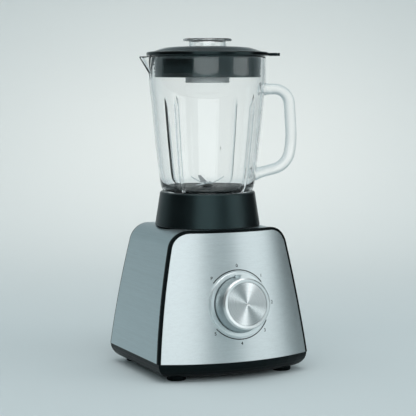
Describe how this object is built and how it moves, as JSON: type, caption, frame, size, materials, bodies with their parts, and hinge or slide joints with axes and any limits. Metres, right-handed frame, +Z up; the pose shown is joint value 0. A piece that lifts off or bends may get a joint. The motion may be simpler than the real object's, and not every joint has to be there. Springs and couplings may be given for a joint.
{
  "type": "countertop blender",
  "caption": "Countertop blender with a tapered motor base and speed knob, and a ribbed glass jug with handle, screw collar, lid and measuring cap that lift off.",
  "frame": {"origin": "middle of the whole blender's outline, on the table under the feet", "axes": "+Z up, -Y towards the front with the speed knob, +X to the right as seen from the front, handle side"},
  "size_m": [0.2082, 0.1949, 0.4],
  "materials": {
    "casing_silver": "satin metallic lacquer",
    "rear_plastic": "fine grained",
    "panel_steel": "horizontal brushing",
    "trim_black": "satin gloss",
    "black_plastic": "satin moulded",
    "lid_black": "satin gloss",
    "foot_rubber": "matte",
    "seal_rubber": "matte",
    "gasket_silicone": "matte translucent silicone",
    "fastener_steel": "zinc plated",
    "frame_plastic": "glass-filled nylon",
    "bezel_chrome": "satin chrome",
    "switch_resin": "moulded resin",
    "bracket_aluminium": "die cast",
    "lamination_steel": "stacked laminations",
    "copper_winding": "enamelled copper",
    "bearing_bronze": "sintered bronze",
    "brush_brass": "stamped brass",
    "brush_carbon": "pressed carbon",
    "spring_steel": "bright wire",
    "fan_plastic": "natural nylon",
    "terminal_plastic": "moulded nylon",
    "capacitor_yellow": "smooth case",
    "wire_insulation": "smooth insulation",
    "shaft_steel": "ground",
    "coupling_rubber": "hard rubber",
    "knob_silver": "satin metallic",
    "knob_aluminium": "spun face",
    "jug_clear_glass": "clear polished",
    "blade_steel": "polished stainless",
    "collar_translucent": "translucent grey",
    "cap_clear": "clear plastic"
  },
  "bodies": {
    "base": {"wrap_shell": "casing_silver", "rear_cover": "rear_plastic", "front_panel": "panel_steel", "front_trim": "trim_black", "bottom_tray": "black_plastic", "feet": "foot_rubber", "tray_screws": "fastener_steel", "cord_gland": "foot_rubber", "inner_frame": "frame_plastic", "jug_seat": "black_plastic", "drip_seal": "seal_rubber", "dial_bezel": "bezel_chrome", "rotary_switch": "switch_resin", "switch_nut": "fastener_steel", "motor_dampers": "foot_rubber", "damper_screws": "fastener_steel", "upper_bracket": "bracket_aluminium", "lower_bracket": "bracket_aluminium", "stator_core": "lamination_steel", "field_coils": "copper_winding", "upper_bearing": "bearing_bronze", "lower_bearing": "bearing_bronze", "brush_holders": "brush_brass", "carbon_brushes": "brush_carbon", "brush_springs": "spring_steel", "motor_bolts": "fastener_steel", "fan_shroud": "fan_plastic", "terminal_block": "terminal_plastic", "suppression_capacitor": "capacitor_yellow", "internal_wiring": "wire_insulation"},
    "rotor": {"rotor_shaft": "shaft_steel", "armature_core": "lamination_steel", "armature_windings": "copper_winding", "commutator": "copper_winding", "cooling_fan": "fan_plastic", "drive_coupling": "coupling_rubber"},
    "knob": {"knob_body": "knob_silver", "knob_inlay": "knob_aluminium", "switch_spindle": "shaft_steel"},
    "jug": {"jug_glass": "jug_clear_glass", "jug_collar": "black_plastic", "jug_gasket": "gasket_silicone", "blade_holder": "black_plastic", "blade_bushes": "bearing_bronze", "shaft_seal": "seal_rubber"},
    "blades": {"blade_shaft": "shaft_steel", "upper_blades": "blade_steel", "lower_blades": "blade_steel", "blade_boss": "blade_steel", "driven_coupling": "coupling_rubber", "retaining_clip": "shaft_steel"},
    "lid": {"lid_cover": "lid_black", "lid_seal": "seal_rubber", "filler_collar": "collar_translucent"},
    "cap": {"measuring_cap": "cap_clear"}
  },
  "joints": [
    {"name": "knob_turn", "type": "hinge", "parent": "base", "child": "knob", "pos_m": [-0.0056, -0.07128, 0.088], "axis": [0, 0.9863, -0.1647], "range_deg": [-45, 225]},
    {"name": "rotor_spin", "type": "hinge", "parent": "base", "child": "rotor", "pos_m": [-0.0056, 0.0177, 0.1], "axis": [0, 0, 1], "continuous": true},
    {"name": "jug_lift", "type": "slide", "parent": "base", "child": "jug", "axis": [0, 0, 1], "range_m": [0, 0.06]},
    {"name": "blade_spin", "type": "hinge", "parent": "jug", "child": "blades", "pos_m": [-0.0056, 0.0177, 0.21], "axis": [0, 0, 1], "continuous": true},
    {"name": "lid_lift", "type": "slide", "parent": "jug", "child": "lid", "axis": [0, 0, 1], "range_m": [0, 0.045]},
    {"name": "cap_lift", "type": "slide", "parent": "lid", "child": "cap", "axis": [0, 0, 1], "range_m": [0, 0.06]}
  ],
  "couplings": [
    {"joint": "blade_spin", "follows": "rotor_spin", "ratio": 1}
  ]
}
